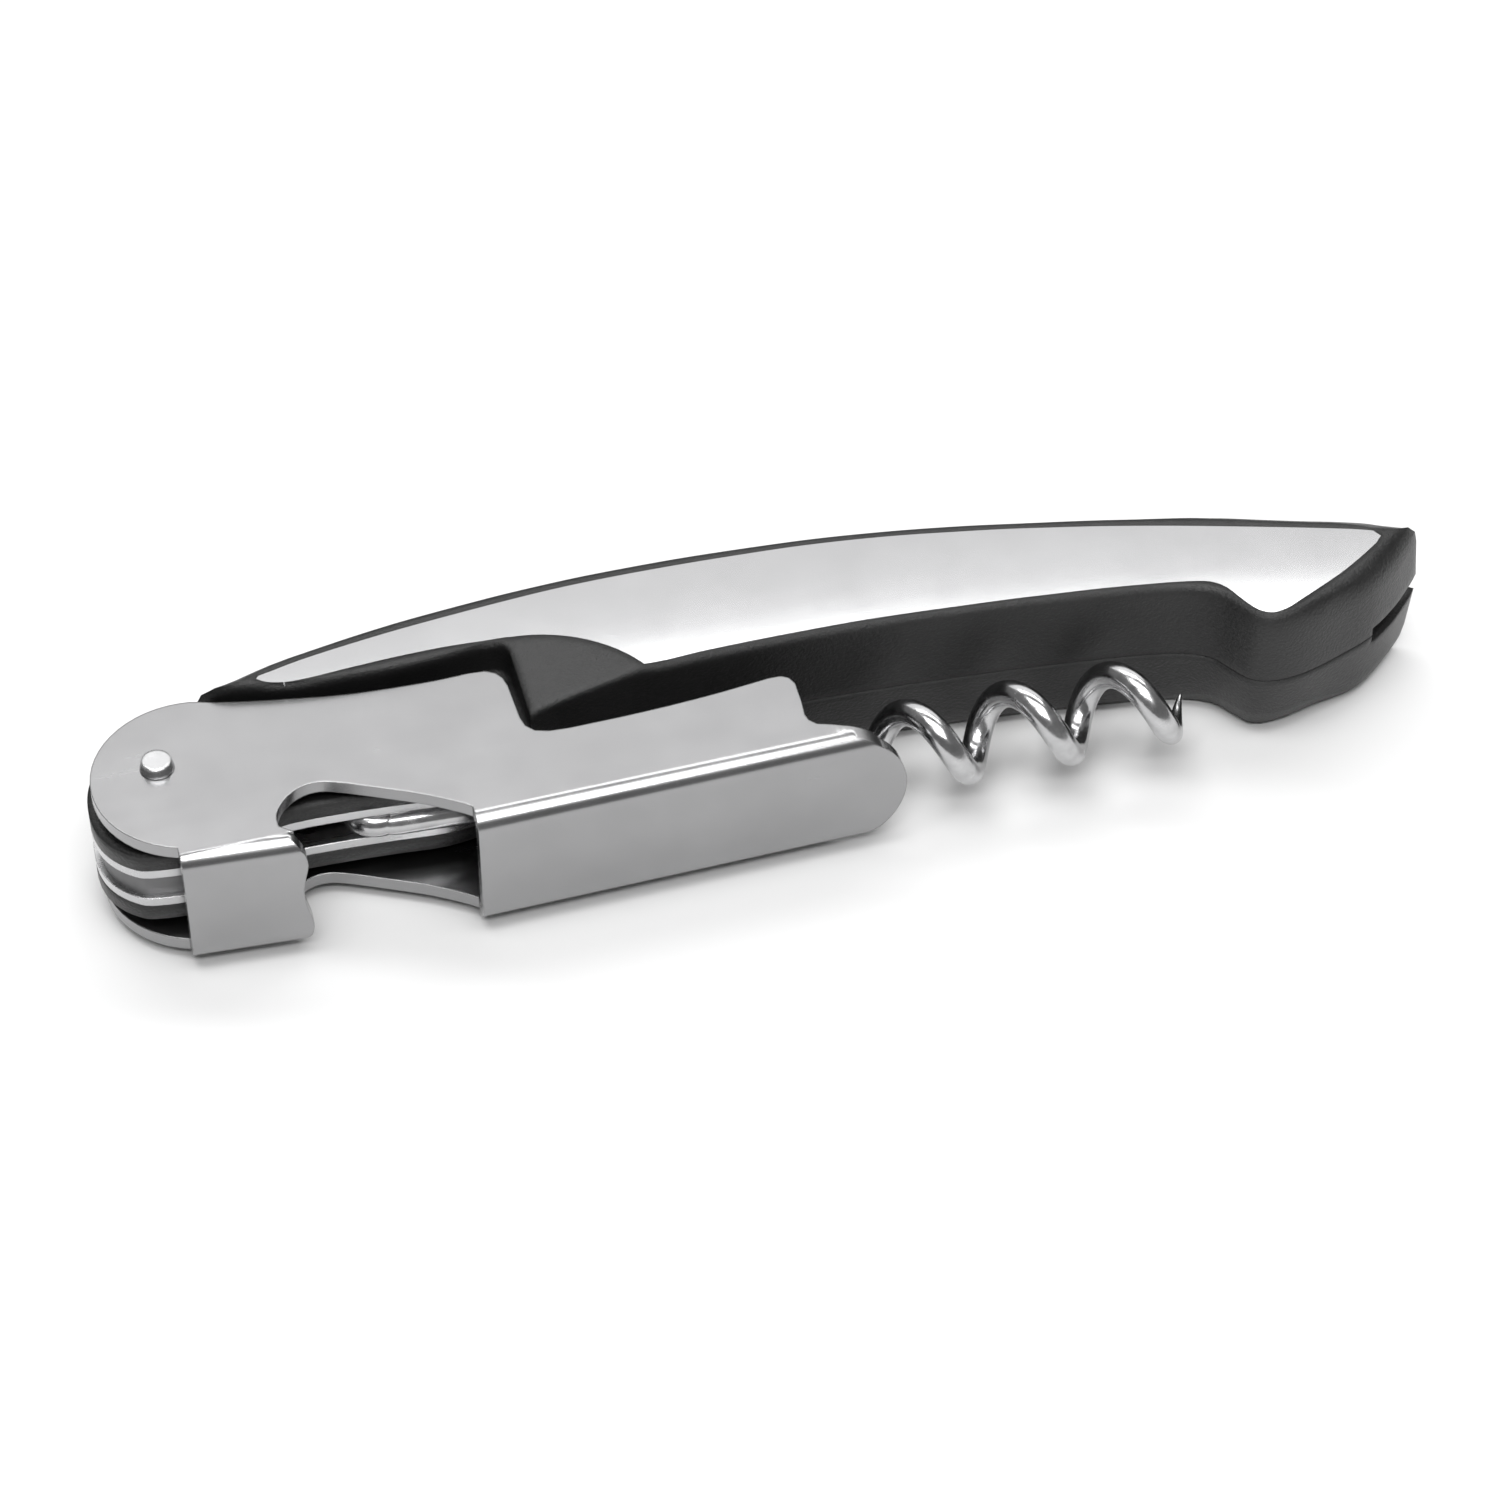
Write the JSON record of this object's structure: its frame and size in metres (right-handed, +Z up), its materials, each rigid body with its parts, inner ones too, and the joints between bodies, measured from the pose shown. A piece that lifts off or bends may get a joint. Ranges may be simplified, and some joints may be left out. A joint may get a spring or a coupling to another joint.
{
  "type": "waiter's corkscrew",
  "caption": "Folding waiter's corkscrew with a two-step lever, cap-opener notch, spiral worm, foil-cutter knife and a two-part handle with inlaid faces.",
  "frame": {"origin": "centre of the folded tool's bounding box, at the level it lies on", "axes": "+X along the handle from the lever's hinge to the knife end, +Y towards the handle's curved back, +Z up, normal to the handle's flat faces"},
  "size_m": [0.117, 0.0268, 0.0146],
  "materials": {
    "black_plastic": "moulded black ABS with a fine, slightly glossy grain",
    "inlay_metal": "smooth satin, bright",
    "liner_steel": "stamped, bright cut edges",
    "spacer_metal": "dull cast grey",
    "lever_steel": "fine satin, polished along the bends and cut edges",
    "rivet_steel": "satin, lightly polished",
    "washer_steel": "plain",
    "worm_chrome": "polished",
    "pin_steel": "plain",
    "blade_steel": "ground satin",
    "spring_steel": "plain, oiled"
  },
  "bodies": {
    "handle": {"upper_shell": "black_plastic", "lower_shell": "black_plastic", "upper_inlay": "inlay_metal", "lower_inlay": "inlay_metal", "upper_liner": "liner_steel", "lower_liner": "liner_steel", "hinge_spacer": "spacer_metal", "lever_rivet": "rivet_steel", "upper_lever_washer": "washer_steel", "lower_lever_washer": "washer_steel", "worm_pin": "pin_steel", "knife_pin": "pin_steel", "knife_washers": "washer_steel", "knife_spring": "spring_steel", "spring_pins": "pin_steel", "shell_pins": "pin_steel"},
    "lever": {"lever": "lever_steel"},
    "worm": {"worm": "worm_chrome"},
    "knife": {"knife_blade": "blade_steel"}
  },
  "joints": [
    {"name": "lever_hinge", "type": "hinge", "parent": "handle", "child": "lever", "pos_m": [-0.05234, 0.00156, 0.0073], "axis": [0, 0, -1], "range_deg": [0, 172]},
    {"name": "worm_hinge", "type": "hinge", "parent": "handle", "child": "worm", "pos_m": [-0.03514, -0.00204, 0.0073], "axis": [0, 0, -1], "range_deg": [0, 86]},
    {"name": "knife_hinge", "type": "hinge", "parent": "handle", "child": "knife", "pos_m": [0.05016, -0.00164, 0.0073], "axis": [0, 0, -1], "range_deg": [0, 175]}
  ],
  "couplings": [
    {"joint": "worm_hinge", "follows": "lever_hinge", "ratio": 0.5}
  ]
}
